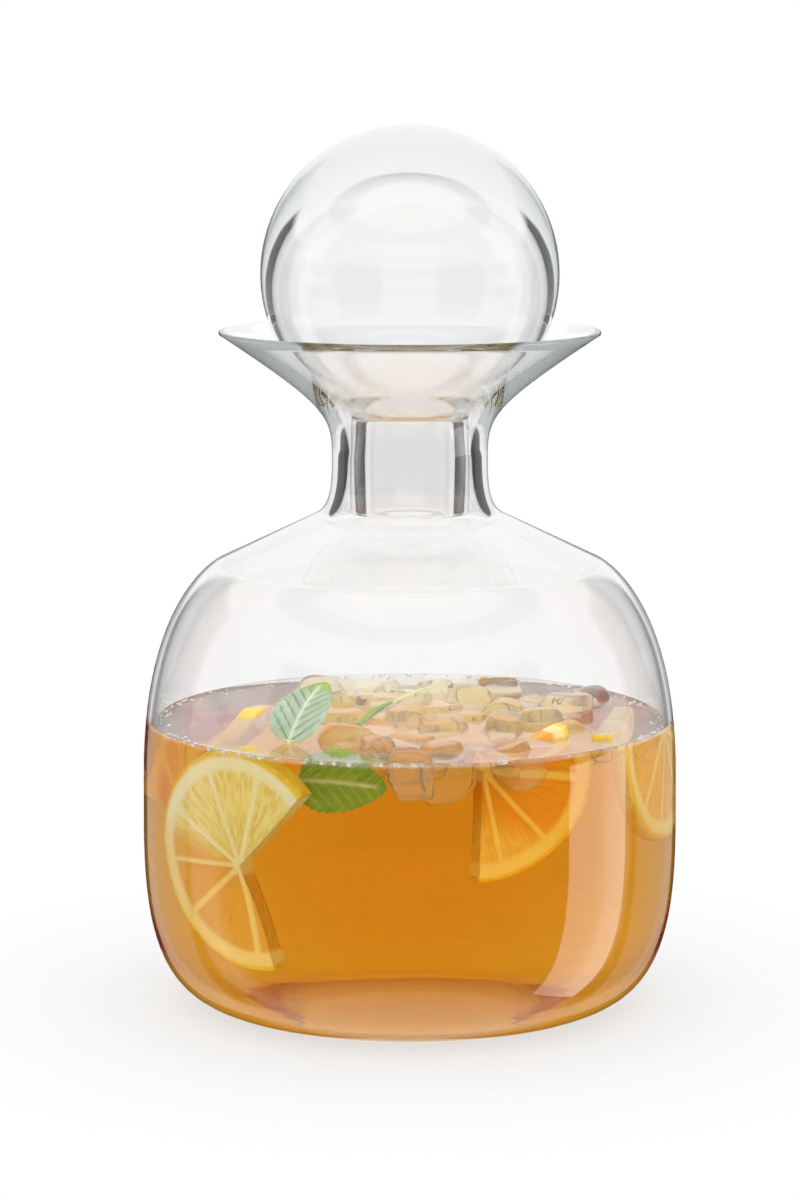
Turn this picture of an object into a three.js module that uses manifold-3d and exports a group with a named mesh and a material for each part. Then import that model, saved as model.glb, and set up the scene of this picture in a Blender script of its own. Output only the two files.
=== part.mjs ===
// A glass carafe with a flared mouth and a hollow ball stopper, holding iced tea with ice, lemon and mint.
// Millimetres, +Z up. The origin is the middle of the base, on the surface that the carafe stands on.
// A bearing is an angle round the axis, from the front (-Y) towards the right (+X).
import * as THREE from "three";
import { mergeVertices } from "three/addons/utils/BufferGeometryUtils.js";
import Module from "manifold-3d";

const wasm = await Module();
wasm.setup();

// Carafe, outside
const footRadius = 48; // outer edge of the flat ring that it stands on
const puntRadius = 38; // inner edge of that ring
const puntRise = 1.6; // how far the glass inside the ring is pushed up
const heelReach = 26; // how far the base runs out before it turns up
const widestRadius = 71;
const widestHeight = 60;
const lowerSideReach = 22; // straightness of the side below its widest place
const upperSideReach = 44; // and above it
const shoulderRadius = 50.8; // where the side has turned into the sloping shoulder
const shoulderRise = 57.8; // from the widest place
const shoulderSlope = 25.6; // degrees from level
const shoulderTurnReach = 4;
const neckFootRadius = 24.8; // where the shoulder starts to turn up into the neck
const neckFootReach = 4.9;
const neckRadius = 20.6; // at the waist of the neck
const neckRise = 16.2; // from the neck's foot to its waist
const neckLowerReach = 6;
const neckUpperReach = 10;
const rimRadius = 50;
const rimRise = 31.2; // from the waist
const funnelSlope = 34; // degrees from level, at the rim
const funnelReach = 32;

// Carafe, thickness of the glass
const baseWall = 5;
const sideWall = 2.2;
const shoulderWall = 2.4;
const neckFootWall = 3.4;
const neckWall = 4.3;
const lipWall = 1.5;

// Ball stopper
const ballRadius = 39.2;
const ballWall = 1.6; // near its foot
const crownWall = 9; // at its top
const crownFade = 2.2; // how fast the crown thins down the sides
const stemClearance = 0.6; // all round, at the waist of the neck
const stemWall = 4.1;
const stemLength = 28; // below where the ball would meet it
const stemFillet = 2.5;
const seatGap = 0.3; // between the ball and the funnel that it rests in

// Drink
const teaLevel = 75.3; // above the base
const contentsGap = 0.35; // between any two pieces of the contents, and to the glass

// Ice
const iceSide = 15;
const iceDepth = 15.5;
const iceRise = 4.5; // how far a cube stands out of the tea
const iceSpread = 0.25; // from one cube's middle to the next, as a share of the drink's radius
const iceLeast = 0.2; // the smallest that a cube is made to fit its place, as a share of its size
// The first and the last place taken in each row of cubes, from the front row to the back one
const iceRows = [[0, 0], [-1, 1], [-1, 0], [0, 2], [-1, 2], [-1, 2], [-1, 3], [-2, 1], [0, 0]];
const iceSquareness = 4; // higher is squarer
const iceLean = 9; // degrees, the most

// Lemon
const lemonRadius = 28.5;
const lemonThickness = 5.5;
const frontBearing = -42.5;
const frontLean = 6; // degrees, the top outwards
const frontRise = 0.2; // above the tea
const frontSetIn = 1; // from the drink's side to its nearest edge
const frontSpan = [43.7, 284.3]; // degrees round the slice, from its right-hand side
const frontCore = [-0.6, -1.3]; // where its two cuts meet, from the middle of the slice
const thirdBearing = 27.6;
const thirdSetIn = 27.4; // from the drink's side to its middle
const thirdShift = -3.6; // sideways, to its point
const thirdSink = 6; // its point below the tea
const thirdSpan = [268, 378];
const sideBearing = 80;
const sideSetIn = 1; // from the drink's side to its nearest corner
const sideShift = 7;
const sideLean = -4;
const sideRise = 1;
const sideSpan = [172, 352];
const leftBearing = -100;
const leftSetIn = 18; // from the drink's side to its corners
const leftLean = 0; // upright, its round edge up
const leftRise = 1;
const leftSpan = [0, 180];

// Mint: where each leaf's foot is, in from the drink's side and down from its top, the way that the leaf
// runs, and the way that it faces
const leafThickness = 0.9;
const uprightLeaf = {
  length: 22,
  width: 18,
  bend: 0.1,
  cup: 0.1,
  bearing: -40,
  setIn: 19.1,
  sink: 0.9,
  along: [0.45, 0.65, 0.7],
  face: [-0.4, -0.58, 0.79],
};
const leaningLeaf = {
  length: 25,
  width: 11,
  bend: 0.06,
  cup: 0.16,
  bearing: -47,
  setIn: 46.9,
  sink: 1.6,
  along: [17, 8, 9],
  face: [-0.52, 0.08, 0.84],
};
const sunkenLeaf = {
  length: 23,
  width: 17,
  bend: 0.08,
  cup: 0.1,
  bearing: -30.2,
  setIn: 12.8,
  sink: 7,
  along: [21, -5.5, -1],
  face: [-0.3, -1, 0.45],
};

// Fineness of the round surfaces, in steps
const fineness = { turn: 40, curve: 9, line: 2, neckFoot: 6, ball: 12, lemon: 28 };

const radians = THREE.MathUtils.degToRad;

// Solids

function solidOf(geometry) {
  const bare = geometry.clone();
  bare.deleteAttribute("normal");
  bare.deleteAttribute("uv");
  const merged = mergeVertices(bare, 1e-4);
  const corners = Array.from(merged.index.array);
  const kept = [];
  for (let i = 0; i < corners.length; i += 3) {
    const [a, b, c] = corners.slice(i, i + 3);
    if (a !== b && b !== c && c !== a) kept.push(a, b, c);
  }
  const vertProperties = new Float32Array(merged.attributes.position.array);
  return new wasm.Manifold(new wasm.Mesh({ numProp: 3, vertProperties, triVerts: new Uint32Array(kept) }));
}

function geometryOf(solid) {
  const mesh = solid.getMesh();
  const geometry = new THREE.BufferGeometry();
  geometry.setAttribute("position", new THREE.BufferAttribute(new Float32Array(mesh.vertProperties), 3));
  geometry.setIndex(new THREE.BufferAttribute(new Uint32Array(mesh.triVerts), 1));
  return geometry;
}

// A profile of [radius, height] points turned round the axis. It starts and ends on the axis.
function turned(profile) {
  const points = profile.map(([radius, height]) => new THREE.Vector2(radius, height));
  return new THREE.LatheGeometry(points, fineness.turn).rotateX(Math.PI / 2);
}

// Carafe body: one outer outline of five curves, and the inside of the glass at its thickness below it

const shoulderHeight = widestHeight + shoulderRise;
const slopeDown = [Math.cos(radians(shoulderSlope)), -Math.sin(radians(shoulderSlope))];
const neckFootHeight = shoulderHeight + (shoulderRadius - neckFootRadius) * Math.tan(radians(shoulderSlope));
const waistHeight = neckFootHeight + neckRise;
const rimHeight = waistHeight + rimRise;
const funnelOut = [Math.cos(radians(funnelSlope)), Math.sin(radians(funnelSlope))];

function cubic(...corners) {
  return new THREE.CubicBezierCurve(...corners.map(([radius, height]) => new THREE.Vector2(radius, height)));
}

const bodyCurves = [
  {
    curve: cubic(
      [footRadius, 0],
      [footRadius + heelReach, 0],
      [widestRadius, widestHeight - lowerSideReach],
      [widestRadius, widestHeight],
    ),
    walls: [baseWall, sideWall],
  },
  {
    curve: cubic(
      [widestRadius, widestHeight],
      [widestRadius, widestHeight + upperSideReach],
      [shoulderRadius + slopeDown[0] * shoulderTurnReach, shoulderHeight + slopeDown[1] * shoulderTurnReach],
      [shoulderRadius, shoulderHeight],
    ),
    walls: [sideWall, shoulderWall],
  },
  {
    curve: new THREE.LineCurve(
      new THREE.Vector2(shoulderRadius, shoulderHeight),
      new THREE.Vector2(neckFootRadius, neckFootHeight),
    ),
    walls: [shoulderWall, neckFootWall],
    steps: fineness.line,
  },
  {
    curve: cubic(
      [neckFootRadius, neckFootHeight],
      [neckFootRadius - slopeDown[0] * neckFootReach, neckFootHeight - slopeDown[1] * neckFootReach],
      [neckRadius, waistHeight - neckLowerReach],
      [neckRadius, waistHeight],
    ),
    walls: [neckFootWall, neckWall],
    steps: fineness.neckFoot,
  },
  {
    curve: cubic(
      [neckRadius, waistHeight],
      [neckRadius, waistHeight + neckUpperReach],
      [rimRadius - funnelOut[0] * funnelReach, rimHeight - funnelOut[1] * funnelReach],
      [rimRadius, rimHeight],
    ),
    walls: [neckWall, lipWall],
  },
];

// The outline from the foot to the rim, set in from the outside by share of the glass's thickness, plus gap.
function bodyOutline(share, gap = 0) {
  const outline = [];
  bodyCurves.forEach(({ curve, walls, steps = fineness.curve }, index) => {
    for (let i = index === 0 ? 0 : 1; i <= steps; i++) {
      const along = i / steps;
      const point = curve.getPoint(along);
      const tangent = curve.getTangent(along);
      const depth = share * THREE.MathUtils.lerp(walls[0], walls[1], along) + gap;
      outline.push([point.x - tangent.y * depth, point.y + tangent.x * depth]);
    }
  });
  return outline;
}

// The inside of the base, from the axis to the heel, raised by gap.
function insideBase(gap) {
  return [0, 0.4, 0.75].map((share) => [
    share * (footRadius - gap),
    baseWall + gap + puntRise * (1 - share * share),
  ]);
}

const outside = bodyOutline(0);
const inside = bodyOutline(1);
const lip = outside.at(-1);
const lipInside = inside.at(-1);
const lipRound = [-0.5, 0, 0.5].map((turn) => {
  const middle = [(lip[0] + lipInside[0]) / 2, (lip[1] + lipInside[1]) / 2];
  const across = [(lip[0] - lipInside[0]) / 2, (lip[1] - lipInside[1]) / 2];
  const swing = Math.cos(turn * Math.PI * 0.5);
  const side = -Math.sin(turn * Math.PI * 0.5);
  return [
    middle[0] + across[0] * side + funnelOut[0] * (lipWall / 2) * swing,
    middle[1] + across[1] * side + funnelOut[1] * (lipWall / 2) * swing,
  ];
});
const puntOutline = [0, 0.5, 1].map((share) => [share * puntRadius, puntRise * (1 - share * share)]);
const bodyProfile = [
  ...puntOutline,
  ...outside,
  ...lipRound,
  ...inside.toReversed(),
  ...insideBase(0).toReversed(),
];

// Ball stopper: it rests where its ball first meets the inside of the funnel

const seatReach = ballRadius + seatGap;
const funnelInside = inside.slice(-fineness.curve);
const ballHeight = Math.max(
  ...funnelInside
    .filter(([radius]) => radius < seatReach)
    .map(([radius, height]) => height + Math.sqrt(seatReach ** 2 - radius ** 2)),
);
const stemRadius = neckRadius - neckWall - stemClearance;
const stemBoreRadius = stemRadius - stemWall;
const stemTop = ballHeight - Math.sqrt(ballRadius ** 2 - stemRadius ** 2);
const stemBottom = stemTop - stemLength;

// Distance from the ball's middle to its hollow, at an angle from straight up.
function hollowReach(angle) {
  const fade = ((1 + Math.cos(angle)) / 2) ** crownFade;
  return ballRadius - ballWall - (crownWall - ballWall) * fade;
}

// The angle from straight up at which the hollow has narrowed to the stem's bore.
function hollowEnd() {
  let low = Math.PI / 2;
  let high = Math.PI;
  for (let i = 0; i < 40; i++) {
    const middle = (low + high) / 2;
    if (hollowReach(middle) * Math.sin(middle) > stemBoreRadius) low = middle;
    else high = middle;
  }
  return low;
}

function arc(radius, from, to, steps, middle) {
  return Array.from({ length: steps + 1 }, (unused, i) => {
    const angle = from + ((to - from) * i) / steps;
    const reach = typeof radius === "function" ? radius(angle) : radius;
    return [middle[0] + reach * Math.sin(angle), middle[1] + reach * Math.cos(angle)];
  });
}

const filletOut = stemRadius + stemFillet;
const filletHeight = ballHeight - Math.sqrt((ballRadius + stemFillet) ** 2 - filletOut ** 2);
const filletAngle = Math.PI - Math.asin(filletOut / (ballRadius + stemFillet));
const ballMiddle = [0, ballHeight];
// From the top of the hollow down to the stem's end, and up the outside to the crown.
const stopperProfile = [
  ...arc(hollowReach, 0, hollowEnd(), fineness.ball, ballMiddle),
  [stemBoreRadius, stemBottom],
  [stemRadius, stemBottom],
  ...arc(stemFillet, -Math.PI / 2, filletAngle - Math.PI, 3, [filletOut, filletHeight]),
  ...arc(ballRadius, filletAngle, 0, fineness.ball + 2, ballMiddle).slice(1),
];

// Contents

// The radius of the drink's own side at a height, found on its outline.
const teaOutline = bodyOutline(1, contentsGap);
function teaRadius(height) {
  const upper = teaOutline.findIndex(([, z]) => z >= height);
  const [lowRadius, lowHeight] = teaOutline[upper - 1];
  const [highRadius, highHeight] = teaOutline[upper];
  return THREE.MathUtils.mapLinear(height, lowHeight, highHeight, lowRadius, highRadius);
}

const teaProfile = [
  ...insideBase(contentsGap),
  ...teaOutline.filter(([, height]) => height < teaLevel),
  [teaRadius(teaLevel), teaLevel],
  [0, teaLevel],
];

function outward(bearing) {
  return new THREE.Vector3(Math.sin(radians(bearing)), -Math.cos(radians(bearing)), 0);
}

function sideways(bearing) {
  return new THREE.Vector3(Math.cos(radians(bearing)), Math.sin(radians(bearing)), 0);
}

// A sector of a lemon slice, as a plate that faces outward and leans over. Its two cuts meet at its core.
// Every face is set out by grow.
function lemonSlice({ span, core = [0, 0], bearing, out, shift, height, lean }, grow) {
  const [from, to] = span.map(radians);
  const middle = (from + to) / 2;
  const back = grow / Math.sin((to - from) / 2);
  const point = new THREE.Vector2(core[0] - back * Math.cos(middle), core[1] - back * Math.sin(middle));
  const reach = lemonRadius + grow;
  const steps = Math.ceil((fineness.lemon * (to - from)) / (2 * Math.PI));
  const edge = grow / reach;
  const corners = [point];
  for (let i = 0; i <= steps; i++) {
    const angle = from - edge + ((to - from + 2 * edge) * i) / steps;
    corners.push(new THREE.Vector2(reach * Math.cos(angle), reach * Math.sin(angle)));
  }
  const depth = lemonThickness + 2 * grow;
  const plate = new THREE.ExtrudeGeometry(new THREE.Shape(corners), { depth, bevelEnabled: false });
  plate.translate(0, 0, -depth / 2);
  plate.rotateX(radians(lean));
  const facing = new THREE.Matrix4().makeBasis(
    sideways(bearing),
    new THREE.Vector3(0, 0, 1),
    outward(bearing),
  );
  plate.applyMatrix4(facing);
  const place = outward(bearing).multiplyScalar(out).addScaledVector(sideways(bearing), shift);
  return plate.translate(place.x, place.y, height);
}

// How far from the axis a piece can stand and still have its side, this far from its middle, in the drink.
function chordOut(halfWidth, height) {
  return Math.sqrt(Math.min(teaRadius(teaLevel), teaRadius(height)) ** 2 - halfWidth ** 2);
}

// The slices take their places from the drink's side and its top.
const frontHeight = teaLevel + frontRise - lemonRadius;
const frontSlice = {
  span: frontSpan,
  core: frontCore,
  bearing: frontBearing,
  out: chordOut(lemonRadius, frontHeight) - lemonThickness / 2 - frontSetIn,
  shift: 0,
  height: frontHeight,
  lean: frontLean,
};
const thirdSlice = {
  span: thirdSpan,
  bearing: thirdBearing,
  out: teaRadius(teaLevel) - thirdSetIn,
  shift: thirdShift,
  height: teaLevel - thirdSink,
  lean: 0,
};
const sideHeight = teaLevel + sideRise - lemonRadius * Math.sin(radians(sideSpan[0]));
const sideSlice = {
  span: sideSpan,
  bearing: sideBearing,
  out: chordOut(lemonRadius + sideShift, sideHeight - lemonRadius) - lemonThickness / 2 - sideSetIn,
  shift: sideShift,
  height: sideHeight,
  lean: sideLean,
};
const leftSlice = {
  span: leftSpan,
  bearing: leftBearing,
  out: chordOut(lemonRadius, teaLevel) - leftSetIn,
  shift: 0,
  height: teaLevel + leftRise - lemonRadius * Math.cos(radians(leftLean)),
  lean: leftLean,
};

// A leaf as a thin curved plate: a grid along its length and across its width, its underside, and a narrow
// edge between them. Every face is set out by grow.
function mintLeaf({ length, width, bend, cup, bearing, setIn, sink, along, face }, grow) {
  const rows = 10;
  const columns = 4;
  const tipHalfWidth = 0.7;
  const positions = [];
  for (const side of [1, -1]) {
    for (let i = 0; i <= rows; i++) {
      for (let j = 0; j <= columns; j++) {
        const share = i / rows;
        const half = tipHalfWidth + (width / 2 - tipHalfWidth) * Math.sin(Math.PI * share ** 0.8) ** 0.9;
        const across = (2 * j) / columns - 1;
        const y = across * (half + grow);
        const x = share * length + grow * (2 * share - 1);
        const rise = bend * length * share * (1 - share) * 4 + (cup * y * y) / (width / 2);
        positions.push(x, y, rise + side * (leafThickness / 2 + grow));
      }
    }
  }
  const faces = [];
  const count = (rows + 1) * (columns + 1);
  const at = (i, j) => i * (columns + 1) + j;
  for (let i = 0; i < rows; i++) {
    for (let j = 0; j < columns; j++) {
      const [a, b, c, d] = [at(i, j), at(i + 1, j), at(i + 1, j + 1), at(i, j + 1)];
      faces.push(a, b, c, a, c, d);
      faces.push(count + a, count + c, count + b, count + a, count + d, count + c);
    }
  }
  const border = [];
  for (let i = 0; i < rows; i++) border.push(at(i, 0));
  for (let j = 0; j < columns; j++) border.push(at(rows, j));
  for (let i = rows; i > 0; i--) border.push(at(i, columns));
  for (let j = columns; j > 0; j--) border.push(at(0, j));
  border.forEach((a, i) => {
    const b = border[(i + 1) % border.length];
    faces.push(a, count + a, count + b, a, count + b, b);
  });
  const leaf = new THREE.BufferGeometry();
  leaf.setAttribute("position", new THREE.Float32BufferAttribute(positions, 3));
  leaf.setIndex(faces);
  const ahead = new THREE.Vector3(...along).normalize();
  const across = new THREE.Vector3(...face).cross(ahead).normalize();
  const normal = ahead.clone().cross(across);
  leaf.applyMatrix4(new THREE.Matrix4().makeBasis(ahead, across, normal));
  const foot = outward(bearing).multiplyScalar(teaRadius(teaLevel) - setIn);
  return leaf.translate(foot.x, foot.y, teaLevel - sink);
}

// An ice cube, as a round-edged box: a ball whose points are pushed out to a squarer shape.
function iceCube({ x, y, height, size, depth, yaw, lean }, grow) {
  const cube = new THREE.SphereGeometry(1, 10, 6);
  const place = cube.attributes.position;
  const half = [size / 2 + grow, size / 2 + grow, depth / 2 + grow];
  for (let i = 0; i < place.count; i++) {
    const ray = [place.getX(i), place.getY(i), place.getZ(i)];
    const sum = ray.reduce((total, part) => total + Math.abs(part) ** iceSquareness, 0);
    const reach = sum ** (-1 / iceSquareness);
    place.setXYZ(i, ...ray.map((part, axis) => part * reach * half[axis]));
  }
  cube.rotateX(radians(lean));
  cube.rotateZ(radians(yaw));
  return cube.translate(x, y, height);
}

// The room for the contents: the inside of the body, up to clear above the ice.
const roomTop = teaLevel + 2 * iceRise;
const roomProfile = [
  ...insideBase(contentsGap),
  ...teaOutline.filter(([, height]) => height < roomTop),
  [teaRadius(roomTop), roomTop],
  [0, roomTop],
];

const garnish = [
  ["lemon_slice_front", (grow) => lemonSlice(frontSlice, grow), "lemon"],
  ["lemon_third_slice", (grow) => lemonSlice(thirdSlice, grow), "lemon"],
  ["lemon_half_slice_right", (grow) => lemonSlice(sideSlice, grow), "lemon"],
  ["lemon_slice_left", (grow) => lemonSlice(leftSlice, grow), "lemon"],
  ["mint_leaf_upright", (grow) => mintLeaf(uprightLeaf, grow), "mint"],
  ["mint_leaf_leaning", (grow) => mintLeaf(leaningLeaf, grow), "mint"],
  ["mint_leaf_sunken", (grow) => mintLeaf(sunkenLeaf, grow), "mint"],
];

// Ice fills the surface in staggered rows that spread with the drink. Each cube is as large as its place
// allows, clear of the glass, the lemon, the mint and the cubes before it.
const room = solidOf(turned(roomProfile));
const taken = garnish.map(([, make]) => solidOf(make(contentsGap)));
const iceSpacing = iceSpread * teaRadius(teaLevel);
const rowSpacing = iceSpacing * Math.sin(Math.PI / 3);
const iceCubes = [];

// A cube at a share of its size, with its top where it was.
function fitted(cube, share) {
  const depth = iceDepth * share;
  return { ...cube, size: cube.size * share, depth, height: cube.top - depth / 2 };
}

function isClear(cube) {
  const grown = solidOf(iceCube(cube, contentsGap));
  return grown.subtract(room).isEmpty() && taken.every((other) => grown.intersect(other).isEmpty());
}

function placeCube(x, y) {
  const count = iceCubes.length;
  const cube = {
    x,
    y,
    top: teaLevel + iceRise * (0.7 + 0.3 * Math.sin(2.1 * count)),
    size: iceSide * (0.94 + 0.06 * Math.sin(1.7 * count)),
    yaw: 137 * count,
    lean: iceLean * Math.sin(3.3 * count + 1),
  };
  let small = iceLeast;
  let large = 1;
  for (let i = 0; i < 5; i++) {
    const middle = (small + large) / 2;
    if (isClear(fitted(cube, middle))) small = middle;
    else large = middle;
  }
  iceCubes.push(fitted(cube, small));
  taken.push(solidOf(iceCube(iceCubes.at(-1), contentsGap)));
}

iceRows.forEach(([first, last], index) => {
  const row = index - (iceRows.length - 1) / 2;
  for (let column = first; column <= last; column++) {
    placeCube((column + (row % 2 ? 0.5 : 0)) * iceSpacing, row * rowSpacing);
  }
});

// Nodes

const glass = new THREE.MeshStandardMaterial({ color: 0xe9f0ee, roughness: 0.05, metalness: 0 });
glass.transparent = true;
glass.opacity = 0.35;
const tea = new THREE.MeshStandardMaterial({ color: 0xd97d10, roughness: 0.05, metalness: 0 });
const stuff = {
  ice: new THREE.MeshStandardMaterial({ color: 0xf0f4f5, roughness: 0.1, metalness: 0 }),
  lemon: new THREE.MeshStandardMaterial({ color: 0xe8d24a, roughness: 0.45, metalness: 0 }),
  mint: new THREE.MeshStandardMaterial({ color: 0x4f8a3c, roughness: 0.6, metalness: 0 }),
};

const carafe = new THREE.Group();

function addNode(name, geometry, material) {
  const mesh = new THREE.Mesh(geometry, material);
  mesh.name = name;
  carafe.add(mesh);
}

addNode("carafe_body", turned(bodyProfile), glass);
addNode("ball_stopper", turned(stopperProfile), glass);

const contents = [
  ...garnish,
  ...iceCubes.map((cube, i) => [`ice_cube_${i + 1}`, (grow) => iceCube(cube, grow), "ice"]),
];

let teaSolid = solidOf(turned(teaProfile));
for (const [name, make, material] of contents) {
  addNode(name, make(0), stuff[material]);
  teaSolid = teaSolid.subtract(solidOf(make(contentsGap)));
}
addNode("iced_tea", geometryOf(teaSolid), tea);

export default carafe;
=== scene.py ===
import bmesh
import bpy
import numpy as np
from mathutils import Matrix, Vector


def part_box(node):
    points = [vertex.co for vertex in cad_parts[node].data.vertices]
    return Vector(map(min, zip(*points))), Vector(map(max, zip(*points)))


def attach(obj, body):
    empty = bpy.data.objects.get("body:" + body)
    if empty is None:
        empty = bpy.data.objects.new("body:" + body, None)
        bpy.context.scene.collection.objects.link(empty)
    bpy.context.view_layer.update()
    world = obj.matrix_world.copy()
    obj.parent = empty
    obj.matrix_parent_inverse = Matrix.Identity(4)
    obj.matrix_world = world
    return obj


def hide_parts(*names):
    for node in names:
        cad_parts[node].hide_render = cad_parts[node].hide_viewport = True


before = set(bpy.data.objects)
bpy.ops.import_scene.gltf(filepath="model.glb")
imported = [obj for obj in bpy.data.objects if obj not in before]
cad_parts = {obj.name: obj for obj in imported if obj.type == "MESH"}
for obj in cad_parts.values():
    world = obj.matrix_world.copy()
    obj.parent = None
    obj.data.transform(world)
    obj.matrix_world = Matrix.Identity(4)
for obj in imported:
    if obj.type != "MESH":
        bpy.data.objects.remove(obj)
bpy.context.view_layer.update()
mm = 0.001  # shapes are worked out in millimetres; looks and the studio are in metres
seamReach = 2e-6  # points nearer than this become one, which closes seams and poles
sliverReach = 1e-7  # edges shorter than this go


# a cubic curve: its four corners weighted by (1-t)^3, 3t(1-t)^2, 3t^2(1-t) and t^3, with its unit direction
def cubic(corners, steps):
    t = np.linspace(0, 1, steps)[:, None]
    back = 1 - t
    first, second, third, last = [np.asarray(corner, float) for corner in corners]
    point = back ** 3 * first + 3 * t * back ** 2 * second + 3 * t ** 2 * back * third + t ** 3 * last
    slope = back ** 2 * (second - first) + 2 * t * back * (third - second) + t ** 2 * (last - third)
    return point, slope / np.linalg.norm(slope, axis=1, keepdims=True), t


# points on a circle about a middle, where an angle counts from straight up towards the outside
def arc(middle, reach, fromAngle, toAngle, steps):
    angle = np.linspace(fromAngle, toAngle, steps)
    return np.stack([middle[0] + reach * np.sin(angle), middle[1] + reach * np.cos(angle)], 1)


# each cell of a grid of rows and columns becomes one quad; wrapped columns join the last to the first
def gridQuads(rows, columns, wrapColumns=False, first=0):
    acrossCount = columns if wrapColumns else columns - 1
    row, column = np.meshgrid(np.arange(rows - 1), np.arange(acrossCount), indexing="ij")
    beside = (column + 1) % columns
    here, below = row * columns, (row + 1) * columns
    quads = np.stack([here + column, below + column, below + beside, here + beside], -1)
    return quads.reshape(-1, 4) + first


# a profile of (radius, height) points carried round the axis: x = r cos a, y = r sin a
def turn(profile, segments):
    angle = np.linspace(0, 2 * np.pi, segments, endpoint=False)
    radius, height = profile[:, :1], profile[:, 1:]
    grid = np.stack(np.broadcast_arrays(radius * np.cos(angle), radius * np.sin(angle), height), -1)
    return grid.reshape(-1, 3), gridQuads(len(profile), segments, wrapColumns=True)


# turned about one axis: the two other coordinates go round by the angle
def turnAbout(points, axis, degrees):
    first, second = [(1, 2), (2, 0), (0, 1)][axis]
    cosine, sine = np.cos(np.radians(degrees)), np.sin(np.radians(degrees))
    moved = points.copy()
    moved[..., first] = points[..., first] * cosine - points[..., second] * sine
    moved[..., second] = points[..., first] * sine + points[..., second] * cosine
    return moved


# unit directions on a grid from pole to pole: x = sin u cos v, y = sin u sin v, z = cos u
def ballDirections(rows, columns):
    down, bearing = np.meshgrid(np.linspace(0, np.pi, rows),
                                np.linspace(0, 2 * np.pi, columns, endpoint=False), indexing="ij")
    return np.stack([np.sin(down) * np.cos(bearing), np.sin(down) * np.sin(bearing), np.cos(down)], -1)


# 0 below low and 1 above high, with 3t^2 - 2t^3 between
def smoothStep(low, high, value):
    t = np.clip((value - low) / (high - low), 0, 1)
    return t * t * (3 - 2 * t)


# a smooth mesh from points and quads, with a value for each point in every mask
def buildMesh(name, points, quads, masks=None, sharpAngle=None):
    mesh = bpy.data.meshes.new(name)
    mesh.from_pydata((points * mm).tolist(), [], quads.tolist())
    for maskName, values in (masks or {}).items():
        layer = mesh.attributes.new(maskName, "FLOAT", "POINT")
        layer.data.foreach_set("value", values.astype(np.float32).ravel())
    work = bmesh.new()
    work.from_mesh(mesh)
    bmesh.ops.remove_doubles(work, verts=work.verts, dist=seamReach)
    bmesh.ops.dissolve_degenerate(work, edges=work.edges, dist=sliverReach)
    bmesh.ops.recalc_face_normals(work, faces=work.faces)
    work.to_mesh(mesh)
    work.free()
    mesh.shade_smooth()
    if sharpAngle:
        mesh.set_sharp_from_angle(angle=np.radians(sharpAngle))
    return mesh


def addPiece(name, mesh, material, node, body="carafe"):
    piece = bpy.data.objects.new(name, mesh)
    bpy.context.collection.objects.link(piece)
    mesh.materials.clear()
    mesh.materials.append(material)
    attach(piece, body)
    if node:
        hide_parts(node)


# Materials

plainWhite = (1, 1, 1, 1)


def newMaterial(name):
    material = bpy.data.materials.new(name)
    material.use_nodes = True
    tree = material.node_tree
    return material, tree, tree.nodes["Principled BSDF"]


# sets or links a node's sockets; a socket goes by its name, or by its number as n0, n1 and so on
def setSockets(tree, node, sockets):
    for key, value in sockets.items():
        socket = node.inputs[int(key[1:]) if key[0] == "n" and key[1:].isdigit() else key]
        if isinstance(value, bpy.types.NodeSocket):
            tree.links.new(value, socket)
        else:
            socket.default_value = value


def addNode(tree, kind, settings=None, **sockets):
    node = tree.nodes.new(kind)
    for key, value in (settings or {}).items():
        setattr(node, key, value)
    setSockets(tree, node, sockets)
    return node


def objectCoords(tree):
    return addNode(tree, "ShaderNodeTexCoord").outputs["Object"]


def attribute(tree, name):
    return addNode(tree, "ShaderNodeAttribute", {"attribute_name": name}).outputs["Fac"]


def noise(tree, coords, scale, detail=3.0):
    return addNode(tree, "ShaderNodeTexNoise", Vector=coords, Scale=scale, Detail=detail).outputs["Fac"]


def cells(tree, coords, scale):
    return addNode(tree, "ShaderNodeTexVoronoi", Vector=coords, Scale=scale).outputs["Distance"]


def mixColor(tree, share, first, second):
    return addNode(tree, "ShaderNodeMix", {"data_type": "RGBA"}, n0=share, n6=first, n7=second).outputs[2]


def mixLevel(tree, share, first, second):
    return addNode(tree, "ShaderNodeMix", {"data_type": "FLOAT"}, n0=share, n2=first, n3=second).outputs[0]


def mapRange(tree, value, fromLow, fromHigh, toLow, toHigh):
    ends = {"From Min": fromLow, "From Max": fromHigh, "To Min": toLow, "To Max": toHigh}
    return addNode(tree, "ShaderNodeMapRange", Value=value, **ends).outputs["Result"]


def maths(tree, operation, first, second=0.0):
    return addNode(tree, "ShaderNodeMath", {"operation": operation}, n0=first, n1=second).outputs[0]


def bump(tree, height, strength, distance):
    node = addNode(tree, "ShaderNodeBump", Height=height, Strength=strength, Distance=distance)
    return node.outputs["Normal"]


def absorb(tree, look):
    node = addNode(tree, "ShaderNodeVolumeAbsorption", Color=look["through"], Density=look["density"])
    tree.links.new(node.outputs[0], tree.nodes["Material Output"].inputs["Volume"])


# clear glass: blown, so its surface wavers slightly, and a little grey shows through long paths in it
glassLook = {
    "ior": 1.5, "smear": 0.02, "smearScale": 60, "smearRange": (0.55, 0.8),
    "waveScale": 28, "waveStrength": 0.05, "waveDepth": 0.002,
    "through": (0.30, 0.42, 0.40, 1), "density": 5,
}


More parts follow.
